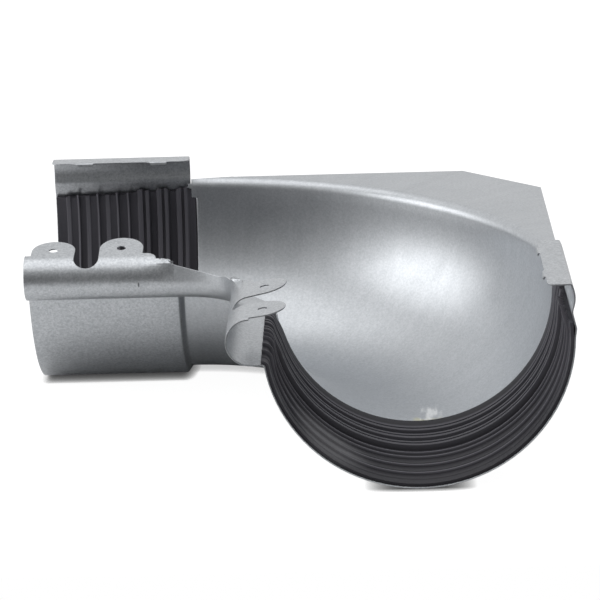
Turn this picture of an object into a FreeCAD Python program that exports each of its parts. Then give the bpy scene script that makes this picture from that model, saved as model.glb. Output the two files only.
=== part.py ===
"""Internal 90 degree corner for a half-round gutter: a pressed steel body and two rubber seals.

The front arm runs along -Y and the left arm along -X, as mirror images about the plane x = y.
Each section is drawn for the front arm, where +X is the rear (wall) side and -X the bead side, and
heights are measured from the centre of the half-round. Lengths are in millimetres.
"""

import FreeCAD, Part
import math
import os
import re
from typing import NamedTuple

import Sketcher

# Driving dimensions.
SIZES = {
    "sheet_thickness": 0.7,
    "socket_radius": 66.0,
    "socket_length": 68.5,
    "step_depth": 3.3,
    "joggle_length": 3.5,
    "bend_radius": 105.0,
    "bead_radius": 10.4,
    "bead_reach": 70.9,
    "bead_height": 1.0,
    "strip_length": 8.1,
    "hood_edge_reach": 71.0,
    "hood_corner_radius": 5.0,
    "strip_end_bulge": 1.4,
    "ear_width": 20.0,
    "ear_gap": 1.4,
    "ear_margin": 12.7,
    "ear_hole_reach": 65.6,
    "ear_hole_radius": 2.0,
    "ear_slope": 12.0,
    "notch_reach": 79.2,
    "bend_lip_height": 8.0,
    "bend_lip_dip": 4.0,
    "shoulder_height": 3.7,
    "shoulder_bulge": 0.5,
    "neck_height": 11.4,
    "neck_depth": 1.4,
    "clip_height": 23.5,
    "clip_depth": 1.9,
    "clip_bow_radius": 13.0,
    "clip_lip_width": 10.0,
    "clip_corner_radius": 3.0,
    "tab_width": 9.4,
    "tab_taper": 1.3,
    "tab_drop": 2.4,
    "outer_tab_margin": 16.4,
    "inner_tab_margin": 15.4,
    "flange_height": 12.0,
    "flange_reach": 65.3,
    "flange_chamfer": 36.7,
    "rim_radius": 5.0,
    "rim_notch": 0.4,
    "trim_margin": 1.0,
    "seal_gap": 0.1,
    "seal_inset": 0.5,
    "seal_base": 1.3,
    "seal_rise": 6.5,
    "seal_front_angle": 7.0,
    "tongue_reach": 67.2,
    "rib_margin": 6.1,
    "rib_pitch": 9.8,
    "rib_height": 2.2,
    "rib_width": 2.6,
    "lip_pitch": 9.6,
    "lip_height": 2.5,
    "lip_width": 4.4,
    "flap_length": 1.4,
}

# Sizes that follow from the driving dimensions.
FORMULAS = {
    "bowl_radius": "socket_radius - step_depth",
    "bowl_inside": "bowl_radius - sheet_thickness",
    "socket_inside": "socket_radius - sheet_thickness",
    "socket_start": "bend_radius + joggle_length",
    "open_end": "socket_start + socket_length",
    "rear_reach": "socket_radius + shoulder_bulge",
    "bead_front": "bead_reach + bead_radius",
    "bead_under": "bead_height - bead_radius",
    "bead_floor": "bead_under + sheet_thickness",
    "hood_end": "socket_start + strip_length",
    "hood_corner_reach": "hood_edge_reach + hood_corner_radius",
    "strip_end_drop": "bend_lip_reach - hood_corner_reach",
    "strip_end_half": "sqrt(strip_length ^ 2 + strip_end_drop ^ 2) / 2",
    "strip_end_radius": "(strip_end_half ^ 2 + strip_end_bulge ^ 2) / (2 * strip_end_bulge)",
    "hood_crest_reach": "bead_reach + bead_radius * sin(ear_slope)",
    "hood_crest": "bead_height + bead_radius * cos(ear_slope)",
    "hood_inner_crest_reach": "hood_crest_reach - sheet_thickness * sin(ear_slope)",
    "hood_inner_crest": "hood_crest - sheet_thickness * cos(ear_slope)",
    "ear_blank_reach": "ear_tip_reach - trim_margin",
    "ear_blank_height": "hood_crest + (hood_crest_reach - ear_blank_reach) * tan(ear_slope)",
    "ear_round": "ear_width / 2",
    "ear_tip_reach": "ear_hole_reach - ear_round",
    "outer_ear": "open_end - ear_margin",
    "inner_ear": "hood_end + hood_corner_radius + ear_gap + ear_round",
    "ear_pitch": "outer_ear - inner_ear",
    "notch_round": "(ear_pitch - ear_width) / 2",
    "notch_centre_reach": "notch_reach - notch_round",
    "bend_lip_rise": "bend_lip_height - bead_height",
    "bead_inner_radius": "bead_radius - sheet_thickness",
    "bend_lip_reach": "bead_reach + sqrt(bead_radius ^ 2 - bend_lip_rise ^ 2)",
    "bend_lip_inner_reach": "bead_reach + sqrt(bead_inner_radius ^ 2 - bend_lip_rise ^ 2)",
    "dip_half_width": "(socket_start - bend_lip_reach) / sqrt(2)",
    "dip_radius": "(dip_half_width ^ 2 + bend_lip_dip ^ 2) / (2 * bend_lip_dip)",
    "joggle_mitre": "sheet_thickness * tan(atan(step_depth / joggle_length) / 2)",
    "clip_reach": "socket_radius - clip_depth",
    "clip_edge": "clip_reach - clip_lip_width",
    "neck_reach": "socket_radius - neck_depth",
    "neck_inside": "neck_reach - sheet_thickness",
    "tab_bottom": "clip_height - sheet_thickness - tab_drop",
    "rim_reach": "bowl_inside + rim_radius",
    "rim_start": "flange_height - rim_radius",
    "flange_under": "flange_height - sheet_thickness",
    "flange_corner": "flange_reach - flange_chamfer",
    "flange_span": "sqrt((bend_radius + flange_reach) ^ 2 + (bend_radius + flange_corner) ^ 2)",
    "flange_far": "flange_span + trim_margin",
    "seal_outside": "socket_inside - seal_gap",
    "seal_floor": "seal_outside - seal_base",
    "seal_outer_end": "open_end - seal_inset",
    "seal_inner_end": "socket_start + seal_inset",
    "rib_tip": "seal_floor - rib_height",
    "lip_tip": "seal_floor - lip_height",
    "flap_under": "bowl_inside - seal_gap",
    "flap_end": "bend_radius - flap_length",
    "tongue_floor": "bead_floor + seal_gap",
}


class Corner(NamedTuple):
    """A corner of an outline. A radius makes the edge that arrives here an arc, with its turn."""

    x: str
    y: str
    radius: str = ""
    turn: int = 0


LEFT = 1
RIGHT = -1

# Ridges of each seal, from the open end inwards.
RIB_COUNT = 4
LIP_COUNT = 3

doc = FreeCAD.newDocument("gutter_angle")
sheet = doc.addObject("Spreadsheet::Sheet", "Sizes")
for row, (alias, size) in enumerate(SIZES.items(), start=1):
    sheet.set(f"A{row}", alias)
    sheet.set(f"B{row}", str(size))
    sheet.setAlias(f"B{row}", alias)
doc.recompute()


def bound(text):
    """Write an expression of named sizes in terms of the spreadsheet's cells."""

    def spell(match):
        word = match.group(0)
        if word in FORMULAS:
            return f"({bound(FORMULAS[word])})"
        return f"Sizes.{word}" if word in SIZES else word

    return re.sub(r"[a-z_]+", spell, text)


def value(text):
    """Work out an expression of named sizes."""
    return float(sheet.evalExpression(bound(text)))


def add_sketch(body, name, plane, offset=("0", "0", "0")):
    """Add an empty sketch on one of the body's origin planes, shifted in the plane's own axes."""
    sketch = body.newObject("Sketcher::SketchObject", name)
    support = [item for item in body.Origin.OriginFeatures if item.Role == plane][0]
    sketch.AttachmentSupport = [(support, "")]
    sketch.MapMode = "FlatFace"
    for axis, text in zip("xyz", offset):
        sketch.setExpression(f"AttachmentOffset.Base.{axis}", bound(text))
    return sketch


def constrain(sketch, text, kind, *places):
    """Add a dimension to a sketch and bind it to an expression of named sizes."""
    index = sketch.addConstraint(Sketcher.Constraint(kind, *places, value(text)))
    sketch.setExpression(f"Constraints[{index}]", bound(text))


def arc_between(start, end, radius, turn):
    """Return the shorter arc from start to end that turns left or right."""
    chord = end - start
    across = FreeCAD.Vector(-chord.y, chord.x, 0).normalize()
    centre = (start + end) / 2 + across * (turn * math.sqrt(radius ** 2 - chord.Length ** 2 / 4))
    ends = (start, end) if turn == LEFT else (end, start)
    angles = [math.atan2(spot.y - centre.y, spot.x - centre.x) for spot in ends]
    return Part.ArcOfCircle(Part.Circle(centre, FreeCAD.Vector(0, 0, 1), radius), *angles)


def draw_outline(sketch, corners):
    """Draw a closed outline of lines and arcs, with each corner and radius bound to the sizes."""
    spots = [FreeCAD.Vector(value(corner.x), value(corner.y), 0) for corner in corners]
    first = sketch.GeometryCount
    for index, corner in enumerate(corners):
        start, end = spots[index - 1], spots[index]
        edge = Part.LineSegment(start, end)
        if corner.turn:
            edge = arc_between(start, end, value(corner.radius), corner.turn)
        sketch.addGeometry(edge, False)
    for index, corner in enumerate(corners):
        edge = first + index
        head = 1 if corner.turn == RIGHT else 2
        following = (index + 1) % len(corners)
        tail = 2 if corners[following].turn == RIGHT else 1
        sketch.addConstraint(Sketcher.Constraint("Coincident", edge, head, first + following, tail))
        constrain(sketch, corner.x, "DistanceX", -1, 1, edge, head)
        constrain(sketch, corner.y, "DistanceY", -1, 1, edge, head)
        if corner.turn:
            constrain(sketch, corner.radius, "Radius", edge)


def draw_circle(sketch, x, y, radius):
    """Draw a circle whose centre and radius are bound to the sizes."""
    centre = FreeCAD.Vector(value(x), value(y), 0)
    edge = sketch.addGeometry(Part.Circle(centre, FreeCAD.Vector(0, 0, 1), value(radius)), False)
    constrain(sketch, x, "DistanceX", -1, 1, edge, 3)
    constrain(sketch, y, "DistanceY", -1, 1, edge, 3)
    constrain(sketch, radius, "Radius", edge)


def add_feature(body, kind, name, sketch, **bindings):
    """Add a feature made from a sketch, with its sizes bound to expressions."""
    feature = body.newObject(f"PartDesign::{kind}", name)
    feature.Profile = sketch
    for setting, text in bindings.items():
        feature.setExpression(setting, bound(text))
    return feature


def turn_sketch(body, name, sketch, angle):
    """Turn a sketch about its own upright axis."""
    feature = add_feature(body, "Revolution", name, sketch, Angle=angle)
    feature.ReferenceAxis = (sketch, ["V_Axis"])
    return feature


def cut_upwards(body, name, sketch):
    """Cut away everything above a flat sketch, and check that the cut meets the sheet."""
    doc.recompute()
    before = body.Shape.Volume
    feature = add_feature(body, "Pocket", name, sketch)
    feature.Type = "ThroughAll"
    feature.Reversed = True
    doc.recompute()
    if body.Shape.Volume >= before:
        raise RuntimeError(f"{name} cuts nothing")


def add_body(name):
    """Add a body that stands on the floor, with the box of the whole part centred on the origin."""
    body = doc.addObject("PartDesign::Body", name)
    body.Label = name
    centring = "(open_end - rear_reach) / 2"
    body.setExpression("Placement.Base.x", bound(centring))
    body.setExpression("Placement.Base.y", bound(centring))
    body.setExpression("Placement.Base.z", bound("socket_radius"))
    return body


def bead_outside(shift):
    """Return the outer corners of the rolled bead lip, from its front down to the fold."""
    return [
        Corner(f"{shift} - bead_front", "bead_height", "bead_radius", LEFT),
        Corner(f"{shift} - bead_reach", "bead_under", "bead_radius", LEFT),
    ]


def bead_inside(shift):
    """Return the inner corners of the rolled bead lip, from the fold back up to its front."""
    return [
        Corner(f"{shift} - bead_reach", "bead_floor"),
        Corner(f"{shift} - bead_front + sheet_thickness", "bead_height", "bead_inner_radius", RIGHT),
    ]


def wall_outside(shift, wall):
    """Return the outer corners from the fold round the half-round to its rear edge."""
    return [
        Corner(f"{shift} - sqrt({wall} ^ 2 - bead_under ^ 2)", "bead_under"),
        Corner(shift, f"-{wall}", wall, LEFT),
        Corner(f"{shift} + {wall}", "0", wall, LEFT),
    ]


def wall_inside(shift, wall):
    """Return the inner corners from the rear edge round the half-round back to the fold."""
    return [
        Corner(f"{shift} + {wall}", "0"),
        Corner(shift, f"-{wall}", wall, RIGHT),
        Corner(f"{shift} - sqrt({wall} ^ 2 - bead_floor ^ 2)", "bead_floor", wall, RIGHT),
    ]


def rim_outside(shift):
    """Return the under corners of the rim that rolls over from the rear wall into the flange."""
    return [
        Corner(f"{shift} + bowl_radius", "rim_start"),
        Corner(f"{shift} + rim_reach", "flange_under", "rim_radius - sheet_thickness", RIGHT),
    ]


def rim_inside(shift):
    """Return the upper corners of the rim, from the flange back to the rear wall."""
    return [
        Corner(f"{shift} + rim_reach", "flange_height"),
        Corner(f"{shift} + bowl_inside", "rim_start", "rim_radius", LEFT),
    ]


def add_bend(body):
    """Add half of the bent bowl, with its rolled lip, rim and the blank of its flange."""
    axis = "bend_radius"
    sketch = add_sketch(body, "bend_section", "XZ_Plane", ("-bend_radius", "0", "bend_radius"))
    draw_outline(
        sketch,
        [Corner(f"{axis} - bend_lip_reach", "bend_lip_height")]
        + bead_outside(axis)
        + wall_outside(axis, "bowl_radius")
        + rim_outside(axis)
        + [Corner("flange_far", "flange_under"), Corner("flange_far", "flange_height")]
        + rim_inside(axis)
        + wall_inside(axis, "bowl_inside")
        + bead_inside(axis)
        + [Corner(f"{axis} - bend_lip_inner_reach", "bend_lip_height", "bead_inner_radius", RIGHT)],
    )
    turn_sketch(body, "bend", sketch, "45")


def add_joggle(body):
    """Add the stepped neck between the bowl and the wider socket, turned about the gutter's axis."""
    sketch = add_sketch(body, "joggle_section", "XY_Plane")
    draw_outline(
        sketch,
        [
            Corner("socket_inside", "-socket_start - sheet_thickness"),
            Corner("socket_radius", "-socket_start - sheet_thickness"),
            Corner("socket_radius", "-socket_start"),
            Corner("bowl_radius", "-bend_radius"),
            Corner("bowl_inside", "-bend_radius"),
            Corner("bowl_inside", "-bend_radius - joggle_mitre"),
            Corner("socket_inside", "-socket_start - joggle_mitre"),
        ],
    )
    turn_sketch(body, "joggle_round", sketch, "180 deg - asin(-(bead_floor) / bowl_inside)")
    add_feature(body, "Pad", "joggle_rise", sketch, Length="shoulder_height")
    bead = add_sketch(body, "joggle_bead_section", "XZ_Plane", ("0", "0", "bend_radius"))
    draw_outline(
        bead,
        [Corner("-bend_lip_reach", "bend_lip_height")]
        + bead_outside("0")
        + [Corner("-bowl_inside", "bead_under"), Corner("-bowl_inside", "bead_floor")]
        + bead_inside("0")
        + [Corner("-bend_lip_inner_reach", "bend_lip_height", "bead_inner_radius", RIGHT)],
    )
    add_feature(body, "Pad", "joggle_bead", bead, Length="joggle_length")
    rim = add_sketch(body, "rim_end_section", "XZ_Plane", ("0", "0", "bend_radius"))
    draw_outline(
        rim,
        [Corner("bowl_inside", "shoulder_height"), Corner("bowl_radius", "shoulder_height")]
        + rim_outside("0")
        + [
            Corner("rim_reach + trim_margin", "flange_under"),
            Corner("rim_reach + trim_margin", "flange_height"),
        ]
        + rim_inside("0"),
    )
    add_feature(body, "Pad", "rim_end", rim, Length="joggle_length - rim_notch")


def add_socket(body):
    """Add the socket's sheet: ear blank, bead sheath, half-round and the rear clip with its lip."""
    sketch = add_sketch(body, "socket_section", "XZ_Plane", ("0", "0", "socket_start"))
    draw_outline(
        sketch,
        [Corner("-ear_blank_reach", "ear_blank_height"), Corner("-hood_crest_reach", "hood_crest")]
        + bead_outside("0")
        + wall_outside("0", "socket_radius")
        + [
            Corner("rear_reach", "shoulder_height"),
            Corner("neck_reach", "neck_height"),
            Corner("clip_reach", "clip_height", "clip_bow_radius", LEFT),
            Corner("clip_edge", "clip_height"),
            Corner("clip_edge", "clip_height - sheet_thickness"),
            Corner("clip_reach - sheet_thickness", "clip_height - sheet_thickness"),
            Corner("neck_inside", "neck_height", "clip_bow_radius - sheet_thickness", RIGHT),
            Corner("rear_reach - sheet_thickness", "shoulder_height"),
        ]
        + wall_inside("0", "socket_inside")
        + bead_inside("0")
        + [
            Corner("-hood_inner_crest_reach", "hood_inner_crest", "bead_inner_radius", RIGHT),
            Corner("-ear_blank_reach", "ear_blank_height - sheet_thickness / cos(ear_slope)"),
        ],
    )
    add_feature(body, "Pad", "socket", sketch, Length="socket_length")


def add_tabs(body):
    """Add the two small tabs that are bent down from the lip of the rear clip."""
    sketch = add_sketch(body, "tab_outline", "YZ_Plane", ("0", "0", "clip_edge"))
    for middle in ("-(open_end - outer_tab_margin)", "-(socket_start + inner_tab_margin)"):
        draw_outline(
            sketch,
            [
                Corner(f"{middle} - tab_width / 2", "clip_height"),
                Corner(f"{middle} - tab_width / 2 + tab_taper", "tab_bottom"),
                Corner(f"{middle} + tab_width / 2 - tab_taper", "tab_bottom"),
                Corner(f"{middle} + tab_width / 2", "clip_height"),
            ],
        )
    add_feature(body, "Pad", "tabs", sketch, Length="sheet_thickness")


def ear_outline(middle):
    """Return the corners of a rounded ear, from its outer side round its tip to its inner side."""
    return [
        Corner("-ear_hole_reach", f"-{middle} - ear_round"),
        Corner("-ear_tip_reach", f"-{middle}", "ear_round", LEFT),
        Corner("-ear_hole_reach", f"-{middle} + ear_round", "ear_round", LEFT),
    ]


def trim_ears(body):
    """Cut the hood of the bead sheath into two ears, with a round notch between them."""
    beyond = "-ear_blank_reach + trim_margin"
    sketch = add_sketch(body, "ear_trim", "XY_Plane", ("0", "0", "bead_height"))
    draw_outline(
        sketch,
        [
            Corner(beyond, "-open_end - trim_margin"),
            Corner("-hood_edge_reach", "-open_end - trim_margin"),
            Corner("-hood_edge_reach", "-outer_ear - ear_round"),
        ]
        + ear_outline("outer_ear")
        + [
            Corner("-notch_centre_reach", "-outer_ear + ear_round"),
            Corner("-notch_reach", "-outer_ear + ear_pitch / 2", "notch_round", RIGHT),
            Corner("-notch_centre_reach", "-inner_ear - ear_round", "notch_round", RIGHT),
        ]
        + ear_outline("inner_ear")
        + [
            Corner("-hood_edge_reach", "-inner_ear + ear_round"),
            Corner("-hood_edge_reach", "-hood_end - hood_corner_radius"),
            Corner("-hood_corner_reach", "-hood_end", "hood_corner_radius", LEFT),
            Corner("-bend_lip_reach", "-socket_start", "strip_end_radius", LEFT),
            Corner(beyond, "-socket_start"),
        ],
    )
    cut_upwards(body, "ear_cut", sketch)
    holes = add_sketch(body, "ear_hole_outline", "XY_Plane", ("0", "0", "bead_height"))
    for middle in ("outer_ear", "inner_ear"):
        draw_circle(holes, "-ear_hole_reach", f"-{middle}", "ear_hole_radius")
    cut_upwards(body, "ear_holes", holes)


def trim_clip_corners(body):
    """Round the two free corners of the rear clip's lip."""
    beyond = "clip_edge - trim_margin"
    inner = "clip_edge + clip_corner_radius"
    sketch = add_sketch(body, "clip_corner_trim", "XY_Plane", ("0", "0", "neck_height"))
    draw_outline(
        sketch,
        [
            Corner(beyond, "-open_end - trim_margin"),
            Corner(inner, "-open_end - trim_margin"),
            Corner(inner, "-open_end"),
            Corner("clip_edge", "-open_end + clip_corner_radius", "clip_corner_radius", RIGHT),
            Corner(beyond, "-open_end + clip_corner_radius"),
        ],
    )
    draw_outline(
        sketch,
        [
            Corner(beyond, "-socket_start + trim_margin"),
            Corner(beyond, "-socket_start - clip_corner_radius"),
            Corner("clip_edge", "-socket_start - clip_corner_radius"),
            Corner(inner, "-socket_start", "clip_corner_radius", RIGHT),
            Corner(inner, "-socket_start + trim_margin"),
        ],
    )
    cut_upwards(body, "clip_corners", sketch)


def trim_flange(body):
    """Trim the flange to its two straight sides and the chamfer across the corner."""
    sketch = add_sketch(body, "flange_trim", "XY_Plane", ("0", "0", "rim_start"))
    draw_outline(
        sketch,
        [
            Corner("flange_reach", "-socket_start"),
            Corner("flange_far", "-socket_start"),
            Corner("flange_far", "flange_far"),
            Corner("flange_corner", "flange_far"),
            Corner("flange_corner", "flange_reach"),
            Corner("flange_reach", "flange_corner"),
        ],
    )
    cut_upwards(body, "flange_edges", sketch)


def trim_bend_lip(body):
    """Dip the top edge of the rolled lip towards the middle of the bend."""
    sketch = add_sketch(body, "bend_lip_trim", "XZ_Plane", ("-bend_radius", "0", "bend_radius"))
    sketch.AttachmentOffset = FreeCAD.Placement(
        sketch.AttachmentOffset.Base, FreeCAD.Rotation(FreeCAD.Vector(0, 1, 0), -45)
    )
    top = "bend_lip_height + trim_margin"
    draw_outline(
        sketch,
        [
            Corner("-dip_half_width", top),
            Corner("-dip_half_width", "bend_lip_height"),
            Corner("0", "bend_lip_height - bend_lip_dip", "dip_radius", LEFT),
            Corner("dip_half_width", "bend_lip_height", "dip_radius", LEFT),
            Corner("dip_half_width", top),
        ],
    )
    doc.recompute()
    before = body.Shape.Volume
    add_feature(body, "Pocket", "bend_lip_dip", sketch, Length="bend_radius - bowl_radius")
    doc.recompute()
    if body.Shape.Volume >= before:
        raise RuntimeError("bend_lip_dip cuts nothing")


def mirror_body(body):
    """Complete a half body by its mirror image about the upright plane x = y."""
    plane = body.newObject("PartDesign::Plane", "mitre_plane")
    support = [item for item in body.Origin.OriginFeatures if item.Role == "XZ_Plane"][0]
    plane.AttachmentSupport = [(support, "")]
    plane.MapMode = "FlatFace"
    plane.AttachmentOffset = FreeCAD.Placement(
        FreeCAD.Vector(0, 0, 0), FreeCAD.Rotation(FreeCAD.Vector(0, 1, 0), 45)
    )
    doc.recompute()
    mirror = body.newObject("PartDesign::Mirrored", "left_half")
    mirror.TransformMode = "Whole shape"
    mirror.MirrorPlane = (plane, [""])
    body.Tip = mirror


def seal_section():
    """Return the section of the seal's band, with its ribs, its lips and the flap over the step."""
    corners = [
        Corner("flap_under", "-flap_end"),
        Corner("flap_under", "-bend_radius - seal_inset"),
        Corner("seal_outside", "-seal_inner_end"),
        Corner("seal_outside", "-seal_outer_end"),
        Corner("seal_floor", "-seal_outer_end"),
    ]
    for steps in range(RIB_COUNT):
        tip = f"-seal_outer_end + rib_margin + {steps} * rib_pitch"
        corners += [
            Corner("seal_floor", f"{tip} - rib_width / 2"),
            Corner("rib_tip", tip),
            Corner("seal_floor", f"{tip} + rib_width / 2"),
        ]
    first_lip = f"-seal_outer_end + rib_margin + {RIB_COUNT} * rib_pitch"
    for steps in range(LIP_COUNT):
        middle = f"{first_lip} + {steps} * lip_pitch"
        corners.append(Corner("seal_floor", f"{middle} - lip_pitch / 2"))
        corners.append(Corner("lip_tip", f"{middle} - lip_width / 2"))
        if steps + 1 < LIP_COUNT:
            corners.append(Corner("lip_tip", f"{middle} + lip_width / 2"))
    corners.append(Corner("lip_tip", "-flap_end"))
    return corners


def make_seal():
    """Make the rubber seal of the front socket: its ribbed section turned, raised at the rear, and a
    tongue in front that lies over the fold."""
    body = add_body("front_seal")
    sketch = add_sketch(body, "seal_section", "XY_Plane")
    draw_outline(sketch, seal_section())
    turn_sketch(body, "seal_round", sketch, "180 - seal_front_angle")
    add_feature(body, "Pad", "seal_rear", sketch, Length="seal_rise")
    tongue = add_sketch(body, "tongue_section", "XZ_Plane", ("0", "0", "seal_inner_end"))
    draw_outline(
        tongue,
        [
            Corner("-tongue_reach", "tongue_floor"),
            Corner("-seal_floor", "tongue_floor"),
            Corner("-seal_floor", "tongue_floor + seal_base"),
            Corner("-tongue_reach", "tongue_floor + seal_base"),
        ],
    )
    add_feature(body, "Pad", "tongue", tongue, Length="seal_outer_end - seal_inner_end")
    return body


def make_left_seal(front_seal):
    """Make the left seal as the mirror image of the front one."""
    seal = doc.addObject("Part::Mirroring", "left_seal")
    seal.Label = "left_seal"
    seal.Source = front_seal
    seal.Normal = FreeCAD.Vector(1, -1, 0)
    return seal


def make_corner_body():
    """Make the pressed steel corner: half of it by its sections and trims, the rest by mirroring."""
    body = add_body("corner_body")
    add_bend(body)
    add_joggle(body)
    add_socket(body)
    add_tabs(body)
    trim_ears(body)
    trim_clip_corners(body)
    trim_flange(body)
    trim_bend_lip(body)
    mirror_body(body)
    return body


def main():
    """Build the pieces, check them and write each one to its file."""
    corner_body = make_corner_body()
    front_seal = make_seal()
    pieces = [corner_body, front_seal, make_left_seal(front_seal)]
    doc.recompute()
    for item in doc.Objects:
        if "Invalid" in item.State or "Error" in item.State:
            raise RuntimeError(f"{item.Name} failed: {item.State}")
    for piece in pieces:
        if piece.Shape.isNull() or not piece.Shape.isValid():
            raise RuntimeError(f"{piece.Label} has no valid shape")
    os.makedirs("parts", exist_ok=True)
    for piece in pieces:
        piece.Shape.exportStep(f"parts/{piece.Label}.step")
        box = piece.Shape.BoundBox
        print(piece.Label, len(piece.Shape.Solids), "solid", f"{piece.Shape.Volume:.0f} mm3", box)


main()
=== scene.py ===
"""Look of an internal gutter angle: one pressed sheet of galvanised steel and two rubber seals.

The front arm runs along -Y and the left arm along -X, as mirror images about the plane x = y.
Shapes are drawn in millimetres for the front arm: u across the gutter, towards the wall at the
rear, d along the arm and z up, all from the point where the axes of the two arms cross. Each
finished mesh is then put into the frame, in metres.
"""

import logging
import math
from bisect import bisect_right
from dataclasses import dataclass
from enum import Enum
from itertools import accumulate, pairwise

import bmesh
import bpy
from bmesh.types import BMEdge, BMesh, BMFace, BMVert
from bpy.types import Material, Node, NodeSocket, NodeTree, Object
from mathutils import Matrix, Vector


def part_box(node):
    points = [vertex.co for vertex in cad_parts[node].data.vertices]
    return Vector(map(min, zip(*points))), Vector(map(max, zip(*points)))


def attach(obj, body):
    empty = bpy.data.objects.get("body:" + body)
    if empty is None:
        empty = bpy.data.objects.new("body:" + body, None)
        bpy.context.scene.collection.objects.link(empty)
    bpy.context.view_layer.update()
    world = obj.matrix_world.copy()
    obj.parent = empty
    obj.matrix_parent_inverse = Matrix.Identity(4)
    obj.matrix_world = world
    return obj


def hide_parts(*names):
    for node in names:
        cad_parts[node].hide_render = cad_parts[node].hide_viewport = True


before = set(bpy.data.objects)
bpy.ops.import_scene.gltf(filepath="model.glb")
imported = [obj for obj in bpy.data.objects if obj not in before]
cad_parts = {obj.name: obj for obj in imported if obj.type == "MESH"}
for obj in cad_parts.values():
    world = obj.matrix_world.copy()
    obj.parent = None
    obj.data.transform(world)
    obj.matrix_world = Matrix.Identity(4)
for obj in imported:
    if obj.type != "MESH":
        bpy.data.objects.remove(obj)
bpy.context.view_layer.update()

MM = 0.001
# Distances in millimetres within which points are welded, and within which a cut takes them.
WELD = 0.02
CUT = WELD / 4
HALF_BEND = math.radians(45)
UP = (0.0, 0.0, 1.0)
WHITE = (1.0, 1.0, 1.0, 1.0)
# Name of the seals' attribute for their crests, painted pale as highlights.
CREST_HIGHLIGHT = "crest"
MIRRORED = Matrix(((0, 1, 0, 0), (1, 0, 0, 0), (0, 0, 1, 0), (0, 0, 0, 1)))

# A point of a section, a place in space, a corner with the radius of its bend, and a wave.
Point = tuple[float, float]
Spot = tuple[float, float, float]
Bend = tuple[float, float, float]
Wave = tuple[float, float, float]
log = logging.getLogger("gutter_angle")


class Arm(Enum):
    """The two arms of the angle, with the node of the seal that each one holds."""

    FRONT = "front_seal"
    LEFT = "left_seal"


def arc_points(centre: Point, radius: float, start: float, end: float, cuts: int) -> list[Point]:
    """Return points along an arc.

    Args:
        centre: middle of the arc.
        radius: radius of the arc.
        start: angle of the first point, in degrees.
        end: angle of the last point, in degrees.
        cuts: number of equal chords.

    Returns:
        The points in order, both ends included.
    """
    angles = [math.radians(start + (end - start) * step / cuts) for step in range(cuts + 1)]
    return [(centre[0] + radius * math.cos(a), centre[1] + radius * math.sin(a)) for a in angles]


def arc_between(start: Point, end: Point, radius: float, cuts: int) -> list[Point]:
    """Return points along the shorter arc that turns left from one point to another.

    Args:
        start: first point.
        end: last point.
        radius: radius of the arc.
        cuts: number of equal chords.

    Returns:
        The points in order, both ends included.
    """
    chord = Vector(end) - Vector(start)
    half_turn = math.degrees(math.asin(chord.length / 2 / radius))
    first = math.degrees(math.atan2(chord.y, chord.x)) - half_turn - 90
    outward = Vector((math.cos(math.radians(first)), math.sin(math.radians(first))))
    return arc_points(Vector(start) - radius * outward, radius, first, first + 2 * half_turn, cuts)


def round_corner(
    before: Point, corner: Point, after: Point, radius: float, cuts: int
) -> list[Point]:
    """Return the points of a small bend in place of a sharp corner.

    Args:
        before: a point on the straight side that comes in.
        corner: the sharp corner.
        after: a point on the straight side that goes out.
        radius: radius of the bend.
        cuts: number of equal chords.

    Returns:
        The points in order, both ends included.
    """
    into = (Vector(before) - Vector(corner)).normalized()
    out = (Vector(after) - Vector(corner)).normalized()
    half = into.angle(out) / 2
    centre = Vector(corner) + (into + out).normalized() * (radius / math.sin(half))
    first = Vector(corner) + into * (radius / math.tan(half)) - centre
    start = math.degrees(math.atan2(first.y, first.x))
    turn = math.copysign(180 - 2 * math.degrees(half), -into.cross(out))
    return arc_points(centre, radius, start, start + turn, cuts)


def rounded(corners: list[Bend], cuts: int) -> list[Point]:
    """Return a line through corners, each with its own small bend.

    Args:
        corners: place and bend radius of each corner; a radius of nought keeps it sharp.
        cuts: number of chords in each bend.

    Returns:
        The points in order.
    """
    line = []
    for index, (x, y, radius) in enumerate(corners):
        if not radius:
            line.append((x, y))
            continue
        before, after = corners[index - 1][:2], corners[index + 1][:2]
        line += round_corner(before, (x, y), after, radius, cuts)
    return line


def draw_chain(mesh: BMesh, spots: list[Vector], closed: bool = False) -> list[BMEdge]:
    """Draw a chain of edges through some places.

    Args:
        mesh: mesh that takes the edges.
        spots: places of the vertices, in order.
        closed: whether the last vertex joins the first.

    Returns:
        The new edges, in order.
    """
    verts = [mesh.verts.new(spot) for spot in spots]
    if closed:
        verts.append(verts[0])
    return [mesh.edges.new(pair) for pair in pairwise(verts)]


def swept(result: dict, kind: type, key: str = "geom") -> list:
    """Return the elements of one kind from the result of a mesh operator."""
    return [item for item in result[key] if isinstance(item, kind)]


def far_edges(grown: dict) -> list[BMEdge]:
    """Return the edges at the far side of an extruded strip."""
    verts = set(swept(grown, BMVert))
    return [edge for edge in swept(grown, BMEdge) if set(edge.verts) <= verts]


def join(mesh: BMesh, other: BMesh) -> None:
    """Move the geometry of another mesh into a mesh.

    Args:
        mesh: mesh that takes it.
        other: the other mesh, which is used up.
    """
    carrier = bpy.data.meshes.new("carrier")
    other.to_mesh(carrier)
    other.free()
    mesh.from_mesh(carrier)
    bpy.data.meshes.remove(carrier)


def finish_piece(mesh: BMesh, name: str, place: Matrix) -> Object:
    """Make an object of a mesh.

    Args:
        mesh: finished mesh, which is used up.
        name: name of the piece.
        place: matrix that puts the mesh into the frame.

    Returns:
        The object, smooth, with its place in its mesh.
    """
    bmesh.ops.transform(mesh, matrix=place, verts=mesh.verts[:])
    data = bpy.data.meshes.new(name)
    mesh.to_mesh(data)
    mesh.free()
    data.shade_smooth()
    piece = bpy.data.objects.new(name, data)
    bpy.context.scene.collection.objects.link(piece)
    return piece


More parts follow.
